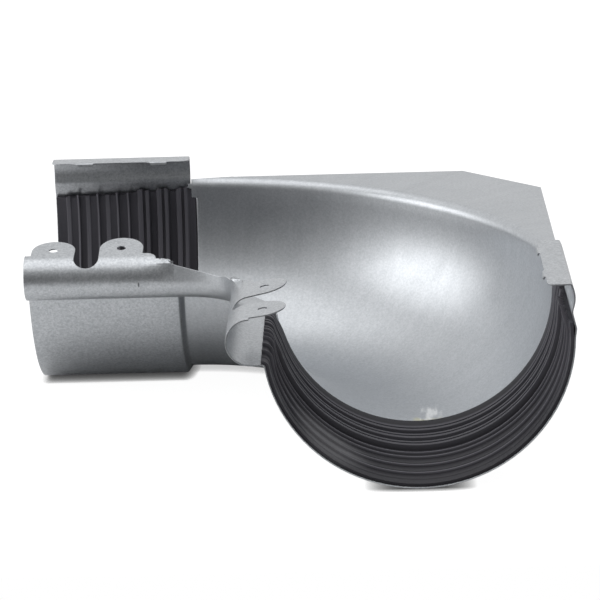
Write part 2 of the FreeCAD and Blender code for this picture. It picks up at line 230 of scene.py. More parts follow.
def linear(colour: str) -> tuple[float, float, float, float]:
    """Return the linear colour of an sRGB hex value."""
    parts = [int(colour[place:place + 2], 16) / 255 for place in (1, 3, 5)]
    return (*[c / 12.92 if c <= 0.04045 else ((c + 0.055) / 1.055) ** 2.4 for c in parts], 1.0)


def per_metre(millimetres: float) -> float:
    """Return the texture scale at which one cell of a pattern is this wide."""
    return 1 / (millimetres * MM)


def connect(tree: NodeTree, node: Node, inputs: dict) -> None:
    """Set the inputs of a node.

    Args:
        tree: tree of the node.
        node: node whose inputs are set.
        inputs: value of each input by name or number, or the socket that feeds it.
    """
    for name, source in inputs.items():
        if isinstance(source, NodeSocket):
            tree.links.new(source, node.inputs[name])
        else:
            node.inputs[name].default_value = source


def add_node(
    tree: NodeTree, kind: str, inputs: dict | None = None, output: str = "", **settings: object
) -> NodeSocket:
    """Add a shader node to a tree.

    Args:
        tree: tree that takes the node.
        kind: Blender's name for the node, after ShaderNode.
        inputs: value of each input by name or number, or the socket that feeds it.
        output: name of the output that is wanted, or nothing for the first in use.
        settings: the node's own options.

    Returns:
        The socket of that output.
    """
    node = tree.nodes.new("ShaderNode" + kind)
    for name, setting in settings.items():
        setattr(node, name, setting)
    connect(tree, node, inputs or {})
    return node.outputs[output] if output else next(way for way in node.outputs if way.enabled)


def add_patch(tree: NodeTree, middle: Spot, reach: Spot) -> NodeSocket:
    """Add nodes that give the distance from the middle of a patch, as a share of its reach.

    Args:
        tree: tree that takes the nodes.
        middle: middle of the patch in the frame, in millimetres.
        reach: reach of the patch along each axis, in millimetres.

    Returns:
        The socket of the distance, which is 1 at the edge of the patch.
    """
    place = add_node(tree, "TexCoord", output="Object")
    patch = {"Vector": place, "Location": Vector(middle) * MM, "Scale": Vector(reach) * MM}
    local = add_node(tree, "Mapping", patch, vector_type="TEXTURE")
    return add_node(tree, "VectorMath", {0: local}, "Value", operation="LENGTH")


def add_grain(tree: NodeTree, size_mm: float, depth_mm: float) -> NodeSocket:
    """Add nodes that raise a fine grain.

    Args:
        tree: tree that takes the nodes.
        size_mm: width of a grain.
        depth_mm: depth of a grain.

    Returns:
        The socket of the surface's normal.
    """
    place = add_node(tree, "TexCoord", output="Object")
    noise = {"Vector": place, "Scale": per_metre(size_mm), "Detail": 2.0}
    grain = add_node(tree, "TexNoise", noise, "Fac")
    return add_node(tree, "Bump", {"Height": grain, "Strength": 1.0, "Distance": depth_mm * MM})


def new_material(name: str) -> tuple[Material, NodeTree, Node]:
    """Return a new material that is made of nodes, with its tree and its shader."""
    material = bpy.data.materials.new(name)
    material.use_nodes = True
    return material, material.node_tree, material.node_tree.nodes["Principled BSDF"]


def layer_colours(tree: NodeTree, base: str, layers: list[tuple[NodeSocket, str]]) -> NodeSocket:
    """Add nodes that lay colours over one another.

    Args:
        tree: tree that takes the nodes.
        base: colour at the bottom.
        layers: cover and colour of each layer, from the bottom up.

    Returns:
        The socket of the colour that is seen.
    """
    colour = linear(base)
    for cover, over in layers:
        mix = {"Factor": cover, "A": colour, "B": linear(over)}
        colour = add_node(tree, "Mix", mix, data_type="RGBA")
    return colour


@dataclass(frozen=True)
class StreakPatch:
    """A patch on the steel in streaks drawn out along the front arm; it draws a dried stain and a
    painted glint.
    """

    colour: str
    middle: Spot
    reach: Spot
    streak_mm: float
    most: float


@dataclass(frozen=True)
class GalvanisedSteel:
    """Hot-dip galvanised steel sheet, as drawn in the press.

    The zinc gives a satin metal of mid grey with a faint blue and a soft, cloudy gloss that a plain
    metal lacks. Its fine spangle speckles the rolled sockets, and the press has burnished it in the
    drawn bend and left faint marks there along the way that the sheet flowed. A yellowish smear has
    dried in the bowl beside the front seal, pale wisps beside it are a painted glint, and the left
    bead has a small dark scratch. Places are in millimetres in the frame.
    """

    light: str = "#c1c4c7"
    dark: str = "#a4a7ab"
    mark: str = "#3d3e42"
    smooth: float = 0.36
    dull: float = 0.43
    mid_tone: float = 0.5
    cloud_mm: float = 18.0
    cloud_span: Point = (0.3, 0.7)
    # The real spangle and grain are finer. They are drawn as coarse as they need to be to show.
    spangle_mm: float = 0.6
    spangle_span: Point = (0.4, 1.0)
    crystal_share: float = 0.4
    grain_mm: float = 0.6
    grain_depth_mm: float = 0.005
    burnished: float = 0.55
    socket_edge_mm: float = -53.0
    socket_blend_mm: float = 2.0
    flow_middle: Spot = (-49.75, -49.75, 0.0)
    flow_radius_mm: float = 105.0
    flow_mm: float = 3.5
    flow_length: float = 0.05
    flow_share: float = 0.45
    smear: StreakPatch = StreakPatch(
        colour="#c6c5a6",
        middle=(61.0, -46.0, 4.5),
        reach=(11.0, 5.0, 5.0),
        streak_mm=4.0,
        most=0.7,
    )
    # Pale wisps beside the smear: a painted glint.
    painted_glint: StreakPatch = StreakPatch(
        colour="#e3e5e6",
        middle=(62.5, -38.0, 4.5),
        reach=(6.0, 14.0, 4.0),
        streak_mm=2.2,
        most=0.75,
    )
    # How rough the dried stain and the painted glint are, and how they are drawn out and ragged.
    streak_roughness: float = 0.8
    streak_length: float = 0.22
    streak_ragged: float = -2.6
    streak_span: Point = (-0.5, -1.1)
    mark_middle: Spot = (-69.4, -25.9, 65.4)
    mark_reach: Spot = (0.5, 1.0, 1.6)
    mark_span: Point = (1.0, 0.4)
    mark_most: float = 0.8

    def cover(self, tree: NodeTree, streak_patch: StreakPatch) -> NodeSocket:
        """Add nodes that give how much of the steel a streaked patch covers: the dried stain or the
        painted glint, whichever is given.

        Args:
            tree: tree that takes the nodes.
            streak_patch: the patch, the dried stain or the painted glint.

        Returns:
            The socket of the cover.
        """
        place = add_node(tree, "TexCoord", output="Object")
        drawn_out = {"Vector": place, "Scale": (1.0, self.streak_length, 1.0)}
        along = add_node(tree, "Mapping", drawn_out)
        noise = {"Vector": along, "Scale": per_metre(streak_patch.streak_mm), "Detail": 3.0}
        streak = add_node(tree, "TexNoise", noise, "Fac")
        far = add_patch(tree, streak_patch.middle, streak_patch.reach)
        edge = {0: streak, 1: self.streak_ragged, 2: far}
        ragged = add_node(tree, "Math", edge, operation="MULTIPLY_ADD")
        thin, thick = self.streak_span
        spread = {"Value": ragged, "From Min": thin, "From Max": thick, "To Max": streak_patch.most}
        return add_node(tree, "MapRange", spread)

    def rolled(self, tree: NodeTree) -> NodeSocket:
        """Add nodes that tell the rolled sockets from the burnished bend.

        Args:
            tree: tree that takes the nodes.

        Returns:
            A socket that is 1 on the sockets and falls to a share in the bend.
        """
        place = add_node(tree, "TexCoord", output="Object")
        axes = add_node(tree, "SeparateXYZ", {"Vector": place}).node.outputs
        outer = add_node(tree, "Math", {0: axes["X"], 1: axes["Y"]}, operation="MINIMUM")
        edge = {
            "Value": outer,
            "From Min": (self.socket_edge_mm + self.socket_blend_mm) * MM,
            "From Max": (self.socket_edge_mm - self.socket_blend_mm) * MM,
            "To Min": self.burnished,
        }
        return add_node(tree, "MapRange", edge)

    def spangle(self, tree: NodeTree) -> NodeSocket:
        """Add nodes that speckle the zinc with its crystals.

        Args:
            tree: tree that takes the nodes.

        Returns:
            The socket of the speckle, to both sides of nought.
        """
        place = add_node(tree, "TexCoord", output="Object")
        cells = {"Vector": place, "Scale": per_metre(self.spangle_mm)}
        shade = add_node(tree, "TexVoronoi", cells, "Color")
        crystal = add_node(tree, "SeparateColor", {"Color": shade}, "Red")
        noise = {"Vector": place, "Scale": per_metre(2 * self.spangle_mm), "Detail": 3.0}
        speckle = add_node(tree, "TexNoise", noise, "Fac")
        both = {0: crystal, 1: self.crystal_share, 2: speckle}
        mottle = add_node(tree, "Math", both, operation="MULTIPLY_ADD")
        low, high = self.spangle_span
        swing = {"To Min": -self.mid_tone, "To Max": self.mid_tone}
        span = {"Value": mottle, "From Min": low, "From Max": high, **swing}
        return add_node(tree, "MapRange", span)

    def flow(self, tree: NodeTree) -> NodeSocket:
        """Add nodes that draw faint marks along the way that the sheet flowed in the bend.

        Args:
            tree: tree that takes the nodes.

        Returns:
            The socket of the marks, to both sides of nought.
        """
        place = add_node(tree, "TexCoord", output="Object")
        centre = {"Vector": place, "Location": Vector(self.flow_middle) * MM}
        around = add_node(tree, "Mapping", centre, vector_type="TEXTURE")
        axes = add_node(tree, "SeparateXYZ", {"Vector": around}).node.outputs
        turn = add_node(tree, "Math", {0: axes["Y"], 1: axes["X"]}, operation="ARCTAN2")
        run = add_node(tree, "Math", {0: turn, 1: self.flow_radius_mm * MM}, operation="MULTIPLY")
        rise = add_node(tree, "Math", {0: axes["Z"], 1: self.flow_length}, operation="MULTIPLY")
        along = add_node(tree, "CombineXYZ", {"X": run, "Y": rise})
        noise = {"Vector": along, "Scale": per_metre(self.flow_mm), "Detail": 3.0}
        flow = add_node(tree, "TexNoise", noise, "Fac")
        swing = {"Value": flow, "To Min": -self.flow_share, "To Max": self.flow_share}
        return add_node(tree, "MapRange", swing)

    def tone(self, tree: NodeTree) -> NodeSocket:
        """Add nodes that give the tone of the zinc: its spangle, and the marks of the drawing.

        Args:
            tree: tree that takes the nodes.

        Returns:
            The socket of the tone, from dark to light.
        """
        rolled = self.rolled(tree)
        crystals = {0: self.spangle(tree), 1: rolled, 2: self.mid_tone}
        speckled = add_node(tree, "Math", crystals, operation="MULTIPLY_ADD")
        drawn = add_node(tree, "Math", {0: 1.0, 1: rolled}, operation="SUBTRACT")
        marks = {0: self.flow(tree), 1: drawn, 2: speckled}
        return add_node(tree, "Math", marks, operation="MULTIPLY_ADD", use_clamp=True)

    def roughness(self, tree: NodeTree, cover: NodeSocket) -> NodeSocket:
        """Add nodes that give a cloudy gloss, which the dried stain and the painted glint dull.

        Args:
            tree: tree that takes the nodes.
            cover: how much of the steel is covered.

        Returns:
            The socket of the roughness.
        """
        place = add_node(tree, "TexCoord", output="Object")
        noise = {"Vector": place, "Scale": per_metre(self.cloud_mm), "Detail": 3.0}
        cloud = add_node(tree, "TexNoise", noise, "Fac")
        low, high = self.cloud_span
        span = {"From Min": low, "From Max": high, "To Min": self.smooth, "To Max": self.dull}
        gloss = add_node(tree, "MapRange", {"Value": cloud, **span})
        mix = {"Factor": cover, "A": gloss, "B": self.streak_roughness}
        return add_node(tree, "Mix", mix, data_type="FLOAT")

    def material(self) -> Material:
        """Make the steel as a procedural material.

        Returns:
            The material.
        """
        material, tree, shader = new_material("galvanised_steel")
        far = add_patch(tree, self.mark_middle, self.mark_reach)
        edge, full = self.mark_span
        scraped = {"Value": far, "From Min": edge, "From Max": full, "To Max": self.mark_most}
        layers = [(self.tone(tree), self.light), (add_node(tree, "MapRange", scraped), self.mark)]
        # A dried yellowish stain, and pale wisps painted on as a glint.
        smear, painted_glint = self.cover(tree, self.smear), self.cover(tree, self.painted_glint)
        layers += [(smear, self.smear.colour), (painted_glint, self.painted_glint.colour)]
        cover = add_node(tree, "Math", {0: smear, 1: painted_glint}, operation="MAXIMUM")
        inputs = {
            "Base Color": layer_colours(tree, self.dark, layers),
            "Metallic": add_node(tree, "Math", {0: 1.0, 1: cover}, operation="SUBTRACT"),
            "Roughness": self.roughness(tree, cover),
            "Normal": add_grain(tree, self.grain_mm, self.grain_depth_mm),
        }
        connect(tree, shader, inputs)
        return material


@dataclass(frozen=True)
class SealRubber:
    """Extruded EPDM rubber, cut to length.

    It is a matt charcoal that is never quite black. The crests of its ribs are painted paler than
    the floor between them, as painted highlights; it pales towards its raised ends, partly with
    dust and partly with a painted sheen; and a painted sheen greys the left side of the front seal
    evenly.
    Places are in millimetres in the frame.
    """

    light: str = "#2a292e"
    dark: str = "#222126"
    # Colour of the crests, painted pale as highlights.
    crest: str = "#75747b"
    # Colour that pales the seal towards the top: partly dust, partly a painted sheen.
    dust_and_sheen: str = "#5d5c63"
    # Colour of a painted sheen that greys the left side of the front seal.
    painted_sheen: str = "#6f6f72"
    dull: float = 0.55
    shine: float = 0.2
    dust_mm: float = 9.0
    # Heights over which the seal pales with dust and a painted sheen, and how far it pales.
    dust_and_sheen_low_mm: float = 30.0
    dust_and_sheen_high_mm: float = 66.0
    dust_and_sheen_most: float = 0.62
    # Place and reach of that painted sheen.
    sheen_middle: Spot = (15.0, -104.0, 17.0)
    sheen_reach: Spot = (26.0, 22.0, 24.0)
    sheen_span: Point = (1.0, 0.3)
    sheen_most: float = 0.85
    # The real grain is finer. It is drawn as coarse as it needs to be to show.
    grain_mm: float = 0.4
    grain_depth_mm: float = 0.02

    def material(self) -> Material:
        """Make the rubber as a procedural material.

        Returns:
            The material.
        """
        material, tree, shader = new_material("seal_rubber")
        place = add_node(tree, "TexCoord", output="Object")
        noise = {"Vector": place, "Scale": per_metre(self.dust_mm), "Detail": 4.0}
        # Paler towards the top: partly dust, partly a painted sheen.
        towards_top = {
            "Value": add_node(tree, "SeparateXYZ", {"Vector": place}, "Z"),
            "From Min": self.dust_and_sheen_low_mm * MM,
            "From Max": self.dust_and_sheen_high_mm * MM,
            "To Max": self.dust_and_sheen_most,
        }
        # A painted sheen over the left side of the front seal.
        far = add_patch(tree, self.sheen_middle, self.sheen_reach)
        edge, full = self.sheen_span
        sheen_patch = {"Value": far, "From Min": edge, "From Max": full, "To Max": self.sheen_most}
        layers = [
            (add_node(tree, "TexNoise", noise, "Fac"), self.light),
            (add_node(tree, "MapRange", towards_top), self.dust_and_sheen),
            # The crests, painted paler as highlights.
            (add_node(tree, "Attribute", output="Fac", attribute_name=CREST_HIGHLIGHT), self.crest),
            (add_node(tree, "MapRange", sheen_patch, interpolation_type="SMOOTHSTEP"), self.painted_sheen),
        ]
        inputs = {
            "Base Color": layer_colours(tree, self.dark, layers),
            "Roughness": self.dull,
            "Specular IOR Level": self.shine,
            "Normal": add_grain(tree, self.grain_mm, self.grain_depth_mm),
        }
        connect(tree, shader, inputs)
        return material


class SheetLine:
    """The bent line of a sheet's section, which can be measured along the flat sheet."""

    def __init__(self, points: list[Point]) -> None:
        """Keep the points of the line and the run of flat sheet up to each of them."""
        self.points = points
        self.runs = [0.0, *accumulate(math.dist(*pair) for pair in pairwise(points))]

    def run_to(self, point: Point) -> float:
        """Return the run of flat sheet up to one of the line's own points."""
        places = range(len(self.points))
        return self.runs[min(places, key=lambda place: math.dist(self.points[place], point))]

    def place(self, run: float) -> Point:
        """Find the place on the bent line after some run of flat sheet.

        Args:
            run: length of flat sheet from the start of the line.

        Returns:
            The place on the section.
        """
        index = min(max(bisect_right(self.runs, run) - 1, 0), len(self.points) - 2)
        share = (run - self.runs[index]) / (self.runs[index + 1] - self.runs[index])
        return tuple(Vector(self.points[index]).lerp(Vector(self.points[index + 1]), share))


class FlatOutline:
    """An outline on the flat sheet, drawn edge by edge: the run across and the length along."""

    def __init__(self, mesh: BMesh, run: float, along: float) -> None:
        """Start the outline at a corner."""
        self.mesh = mesh
        self.start = (run, along)
        self.last = mesh.verts.new((run, along, 0.0))

    def line(self, run: float, along: float) -> None:
        """Draw a straight edge to a new corner."""
        self.last = bmesh.ops.extrude_vert_indiv(self.mesh, verts=[self.last])["verts"][0]
        self.last.co = (run, along, 0.0)

    def arc(self, run: float, along: float, turn: float, cuts: int = 12) -> None:
        """Draw an arc about a centre.

        Args:
            run: run of the centre.
            along: length of the centre.
            turn: angle of the arc in degrees; a positive one goes to the left.
            cuts: number of equal chords.
        """
        about = {"cent": (run, along, 0.0), "axis": UP, "angle": math.radians(turn)}
        turned = bmesh.ops.spin(self.mesh, geom=[self.last], steps=cuts, **about)
        self.last = swept(turned, BMVert, "geom_last")[0]

    def arc_to(self, run: float, along: float, bulge: float) -> None:
        """Draw an arc to a new corner.

        Args:
            run: run of the corner.
            along: length of the corner.
            bulge: how far the arc stands out from the straight line.
        """
        start, end = self.last.co.to_2d(), Vector((run, along))
        half = (end - start) / 2
        radius = (half.length_squared + bulge ** 2) / (2 * bulge)
        centre = start + half + half.orthogonal().normalized() * (radius - bulge)
        self.arc(centre.x, centre.y, 2 * math.degrees(math.asin(half.length / radius)))

    def close(self) -> None:
        """Draw the last edge back to the first corner."""
        self.line(*self.start)


@dataclass
class CornerSheet:
    """The pressed corner: bent bowl, rim and flange, two sockets, rear clips and bead sheaths.

    Lengths are in millimetres and angles in degrees. Reaches are measured across an arm from its
    axis and heights from the level of the axes.
    """

    thickness: float = 0.7
    socket_radius: float = 66.0
    socket_length: float = 68.5
    step_depth: float = 3.3
    joggle_length: float = 3.5
    bend_radius: float = 105.0
    bead_radius: float = 10.4
    bead_reach: float = 70.9
    bead_height: float = 1.0
    fold_radius: float = 0.8
    hood_length: float = 60.4
    hood_edge_reach: float = 71.0
    hood_corner_radius: float = 5.0
    strip_bulge: float = 1.4
    ear_width: float = 20.0
    ear_pitch: float = 31.3
    ear_margin: float = 12.7
    ear_hole_reach: float = 65.6
    ear_hole_radius: float = 2.0
    ear_slope: float = 12.0
    outer_ear_slope: float = 8.0
    notch_reach: float = 79.2
    lip_height: float = 8.0
    lip_dip: float = 4.0
    lip_straight: float = 1.0
    lip_rolled: float = 5.0
    pucker_spot: Spot = (-84.5, -93.2, 4.6)
    pucker_reach: float = 3.6
    pucker_rise: float = 1.0
    pucker_lean: float = 0.2
    seam_height: float = 2.4
    shoulder_height: float = 3.7
    shoulder_bulge: float = 0.5
    neck_height: float = 11.4
    neck_depth: float = 1.4
    clip_height: float = 23.5
    clip_depth: float = 1.9
    clip_bow_radius: float = 13.0
    clip_lip_width: float = 10.0
    clip_corner_radius: float = 3.0
    clip_bend_radius: float = 1.0
    shoulder_bend_radius: float = 3.0
    neck_bend_radius: float = 5.0
    tab_width: float = 9.4
    tab_taper: float = 0.4
    tab_outer_taper: float = 1.6
    tab_length: float = 1.1
    tab_slope: float = 76.0
    tab_bend_radius: float = 0.8
    tab_margin: float = 16.4
    tab_pitch: float = 36.7
    flange_height: float = 12.0
    flange_reach: float = 65.3
    flange_chamfer: float = 36.7
    flange_far: float = 68.0
    rim_radius: float = 4.3
    rim_notch: float = 0.4
    torn_edge: tuple[float, ...] = (0.8, 2.4, 1.5, 2.7)
    torn_push: tuple[float, ...] = (0.3, 0.9, 0.4, 1.0)
    edge_round: float = 0.2
    edge_angle: float = 60.0
    rear_flat: float = 4.0
    rear_flat_start: float = -20.0
    bend_steps: int = 32
    joggle_steps: int = 10
    half_round_cuts: int = 48
    bead_cuts: int = 32
    hood_cuts: int = 9
    bow_cuts: int = 10
    rim_cuts: int = 8
    ear_cuts: int = 28
    notch_cuts: int = 24
    hole_cuts: int = 24
    clip_corner_cuts: int = 8
    small_bend_cuts: int = 5
    shoulder_bend_cuts: int = 4
    neck_bend_cuts: int = 8
    tab_bend_cuts: int = 4
    sheet_cut: float = 8.0

    def __post_init__(self) -> None:
        """Work out the places that several steps share."""
        lip_rise = math.asin((self.lip_height - self.bead_height) / self.bead_radius)
        self.bowl_radius = self.socket_radius - self.step_depth
        self.socket_start = self.bend_radius + self.joggle_length
        self.open_end = self.socket_start + self.socket_length
        self.rear_reach = self.socket_radius + self.shoulder_bulge
        self.bead_under = self.bead_height - self.bead_radius
        self.bead_centre = (-self.bead_reach, self.bead_height)
        self.lip_angle = 180 - math.degrees(lip_rise)
        self.crest_angle = 90 + self.ear_slope
        self.ear_round = self.ear_width / 2
        self.outer_ear = self.open_end - self.ear_margin
        self.inner_ear = self.outer_ear - self.ear_pitch
        self.notch_middle = self.outer_ear - self.ear_pitch / 2
        self.notch_round = (self.ear_pitch - self.ear_width) / 2
        self.clip_reach = self.socket_radius - self.clip_depth
        self.clip_edge = self.clip_reach - self.clip_lip_width
        self.flange_under = self.flange_height - self.thickness
        self.flange_corner = self.flange_reach - self.flange_chamfer
        self.rim_end = self.socket_start - self.rim_notch
        self.bend_centre = Vector((-self.bend_radius, -self.bend_radius, 0.0))

    def in_frame(self) -> Matrix:
        """Work out how the frame lies about the arms' axes.

        Returns:
            The matrix that puts millimetres about the axes into the frame.
        """
        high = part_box("corner_body")[1]
        corner = Vector((high.x, high.y, 0.0)) - self.rear_reach * MM * Vector((1, 1, 0))
        cross = corner + Vector((0, 0, self.socket_radius * MM))
        return Matrix.Translation(cross) @ Matrix.Scale(MM, 4)

    def on_bead(self, angle: float) -> Point:
        """Return the point of the bead's outside at an angle, in degrees."""
        return arc_points(self.bead_centre, self.bead_radius, angle, angle, 1)[0]

    def fold(self, wall: float) -> list[Point]:
        """Draw the small bend between the bead channel and a half-round wall.

        Args:
            wall: outside radius of the half-round.

        Returns:
            The points of the bend, from the channel on.
        """
        corner_angle = 180 + math.degrees(math.asin(-self.bead_under / wall))
        corner, beyond = arc_points((0, 0), wall, corner_angle, corner_angle + 1, 1)
        bend = (self.fold_radius, self.small_bend_cuts)
        return round_corner(self.on_bead(270), corner, beyond, *bend)

    def trough(self, wall: float, bulge: float) -> list[Point]:
        """Draw the section from the lip of the bead, under the bead and round to the rear wall.

        Args:
            wall: outside radius of the half-round.
            bulge: how far the rear wall leans out at the height of the shoulder.

        Returns:
            The points of the outside, as many for every wall.
        """
        lip = self.lip_angle
        bead = arc_points(self.bead_centre, self.bead_radius, lip, 270, self.bead_cuts)
        fold = self.fold(wall)
        fold_end = 360 + math.degrees(math.atan2(fold[-1][1], fold[-1][0]))
        half_round = arc_points((0, 0), wall, fold_end, 360, self.half_round_cuts)
        seam = (wall + bulge * self.seam_height / self.shoulder_height, self.seam_height)
        return [*bead, *fold, *half_round[1:], seam]

    def socket_line(self) -> SheetLine:
        """Draw the section of a socket.

        Returns:
            The line of its outside, from the tip of an ear round to the end of a clip's tab.
        """
        crest = Vector(self.on_bead(self.crest_angle))
        slope = math.radians(self.ear_slope)
        plate = (-crest.x - self.ear_hole_reach) / math.cos(slope) + self.ear_round
        tip = crest + plate * Vector((math.cos(slope), math.sin(slope)))
        rolled = (self.crest_angle, self.lip_angle, self.hood_cuts)
        hood = arc_points(self.bead_centre, self.bead_radius, *rolled)
        trough = self.trough(self.socket_radius, self.shoulder_bulge)
        shoulder = (self.rear_reach, self.shoulder_height)
        neck = (self.socket_radius - self.neck_depth, self.neck_height)
        top = (self.clip_reach, self.clip_height)
        edge = (self.clip_edge, self.clip_height)
        bow = arc_between(neck, top, self.clip_bow_radius, self.bow_cuts)
        tab_centre = (self.clip_edge, self.clip_height - self.tab_bend_radius)
        tab_turn = (90, 90 + self.tab_slope, self.tab_bend_cuts)
        tab = arc_points(tab_centre, self.tab_bend_radius, *tab_turn)
        dip = math.radians(self.tab_slope)
        tab_end = Vector(tab[-1]) - self.tab_length * Vector((math.cos(dip), math.sin(dip)))
        shoulder_bend = (self.shoulder_bend_radius, self.shoulder_bend_cuts)
        neck_bend = (self.neck_bend_radius, self.neck_bend_cuts)
        top_bend = (self.clip_bend_radius, self.small_bend_cuts)
        return SheetLine(
            [
                tuple(tip),
                *hood[:-1],
                *trough,
                *round_corner(trough[-1], shoulder, neck, *shoulder_bend),
                *round_corner(shoulder, neck, bow[1], *neck_bend),
                *bow[3:-2],
                *round_corner(bow[-2], top, edge, *top_bend),
                *tab,
                tuple(tab_end),
            ]
        )

    def draw_blank(self, mesh: BMesh, line: SheetLine) -> None:
        """Draw the flat blank of a socket, with its ears, notch, holes, clip corners and tabs.

        Args:
            mesh: mesh that takes the blank, with the run across in x and the length along in y.
            line: section that the blank will be rolled to.
        """
        crest = self.on_bead(self.crest_angle)
        crest_run = line.run_to(crest)
        hood_run, hole_run = (
            crest_run - (-crest[0] - reach) / math.cos(math.radians(self.ear_slope))
            for reach in (self.hood_edge_reach, self.ear_hole_reach)
        )
        notch_dip = math.acos((self.notch_reach - self.bead_reach) / self.bead_radius)
        notch_turn = 180 - math.degrees(notch_dip) - self.crest_angle
        notch_run = crest_run + self.bead_radius * math.radians(notch_turn) - self.notch_round
        lip_run = line.run_to(self.on_bead(self.lip_angle))
        edge_run = line.run_to((self.clip_edge, self.clip_height))
        hood_corner = self.open_end - self.hood_length + self.hood_corner_radius
        corner = self.clip_corner_radius

        outline = FlatOutline(mesh, hood_run, self.open_end)
        outline.line(hood_run, self.outer_ear + self.ear_round)
        outline.line(hole_run, self.outer_ear + self.ear_round)
        outline.arc(hole_run, self.outer_ear, 180, self.ear_cuts)
        outline.line(notch_run, self.outer_ear - self.ear_round)
        outline.arc(notch_run, self.notch_middle, -180, self.notch_cuts)
        outline.line(hole_run, self.inner_ear + self.ear_round)
        outline.arc(hole_run, self.inner_ear, 180, self.ear_cuts)
        outline.line(hood_run, self.inner_ear - self.ear_round)
        outline.line(hood_run, hood_corner)
        outline.arc(hood_run + self.hood_corner_radius, hood_corner, 90)
        outline.arc_to(lip_run, self.socket_start, self.strip_bulge)
        outline.line(edge_run - corner, self.socket_start)
        outline.arc(edge_run - corner, self.socket_start + corner, 90, self.clip_corner_cuts)
        outer_tab = self.open_end - self.tab_margin
        for middle in (outer_tab - self.tab_pitch, outer_tab):
            outline.line(edge_run, middle - self.tab_width / 2)
            outline.line(line.runs[-1], middle - self.tab_width / 2 + self.tab_taper)
            outline.line(line.runs[-1], middle + self.tab_width / 2 - self.tab_outer_taper)
            outline.line(edge_run, middle + self.tab_width / 2)
        outline.line(edge_run, self.open_end - corner)
        outline.arc(edge_run - corner, self.open_end - corner, 90, self.clip_corner_cuts)
        outline.close()
        for middle in (self.outer_ear, self.inner_ear):
            hole = {"radius": self.ear_hole_radius, "segments": self.hole_cuts}
            place = Matrix.Translation((hole_run, middle, 0.0))
            bmesh.ops.create_circle(mesh, matrix=place, **hole)
        bmesh.ops.remove_doubles(mesh, verts=mesh.verts[:], dist=WELD)
        bmesh.ops.triangle_fill(mesh, edges=mesh.edges[:], use_beauty=True, normal=UP)

    def roll_socket(self) -> BMesh:
        """Roll a socket from its blank, which is first cut along the roll lines.

        Returns:
            The mesh of the socket's outside.
        """
        line = self.socket_line()
        mesh = bmesh.new()
        self.draw_blank(mesh, line)
        steps = round(self.socket_length / self.sheet_cut)
        rows = [self.socket_start + self.socket_length * step / steps for step in range(1, steps)]
        cuts = [((run, 0, 0), (1, 0, 0)) for run in line.runs[1:-1]]
        cuts += [((0, row, 0), (0, 1, 0)) for row in rows]
        for spot, across in cuts:
            sheet = [*mesh.verts, *mesh.edges, *mesh.faces]
            bmesh.ops.bisect_plane(mesh, geom=sheet, dist=CUT, plane_co=spot, plane_no=across)
        crest = Vector(self.on_bead(self.crest_angle))
        crest_run = line.run_to(tuple(crest))
        drop = Matrix.Rotation(math.radians(self.outer_ear_slope - self.ear_slope), 2)
        for vert in mesh.verts:
            run, along, _ = vert.co
            spot = Vector(line.place(run))
            if run < crest_run and along > self.notch_middle:
                spot = crest + drop @ (spot - crest)
            vert.co = (spot.x, -along, spot.y)
        return mesh

    def draw_joggle(self, mesh: BMesh) -> None:
        """Draw the soft step from the socket down to the bowl, station by station.

        Args:
            mesh: mesh that takes the step.
        """
        columns = mesh.verts.layers.int.new("column")
        section = self.trough(self.socket_radius, self.shoulder_bulge)
        edges = draw_chain(mesh, [Vector((u, -self.socket_start, z)) for u, z in section])
        mesh.verts.ensure_lookup_table()
        for column, vert in enumerate(mesh.verts):
            vert[columns] = column
        for step in range(1, self.joggle_steps + 1):
            share = step / self.joggle_steps
            drawn_in = (1 - math.cos(math.pi * share)) / 2
            wall = self.socket_radius - self.step_depth * drawn_in
            section = self.trough(wall, self.shoulder_bulge * (1 - drawn_in))
            grown = bmesh.ops.extrude_edge_only(mesh, edges=edges)
            edges = far_edges(grown)
            for vert in swept(grown, BMVert):
                u, z = section[vert[columns]]
                vert.co = (u, -self.socket_start + self.joggle_length * share, z)

    def draw_rim(self, mesh: BMesh) -> None:
        """Draw the end of the bowl's rear wall and of the rim that rolls over from it.

        Args:
            mesh: mesh that takes them.
        """
        rim_centre = (self.bowl_radius + self.rim_radius, self.flange_under - self.rim_radius)
        rim = arc_points(rim_centre, self.rim_radius, 180, 90, self.rim_cuts)
        section = [(self.bowl_radius, self.seam_height), *rim]
        edges = draw_chain(mesh, [Vector((u, -self.rim_end, z)) for u, z in section])
        grown = bmesh.ops.extrude_edge_only(mesh, edges=edges)
        for vert in swept(grown, BMVert):
            vert.co.y = -self.bend_radius

    def draw_bend(self, mesh: BMesh) -> None:
        """Turn the bowl's section through half of the bend, and flatten its rear wall's sweep.

        Args:
            mesh: mesh that ends in the bowl's section.
        """
        section = [
            edge
            for edge in mesh.edges
            if all(abs(vert.co.y + self.bend_radius) < WELD for vert in edge.verts)
        ]
        about = {"cent": self.bend_centre, "axis": UP, "angle": HALF_BEND}
        bmesh.ops.spin(mesh, geom=section, steps=self.bend_steps, **about)
        flattened = self.bowl_radius - self.rear_flat_start
        for vert in mesh.verts:
            arm = vert.co - self.bend_centre
            share = math.atan2(arm.y, arm.x) / HALF_BEND
            reach = arm.to_2d().length
            rear = (reach - self.bend_radius - self.rear_flat_start) / flattened
            if share > 0 and rear > 0:
                rear = min(rear, 1.0)
                inward = self.rear_flat * share * (2 - share) * rear * rear * (3 - 2 * rear)
                vert.co.xy = (self.bend_centre + arm * (1 - inward / reach)).xy

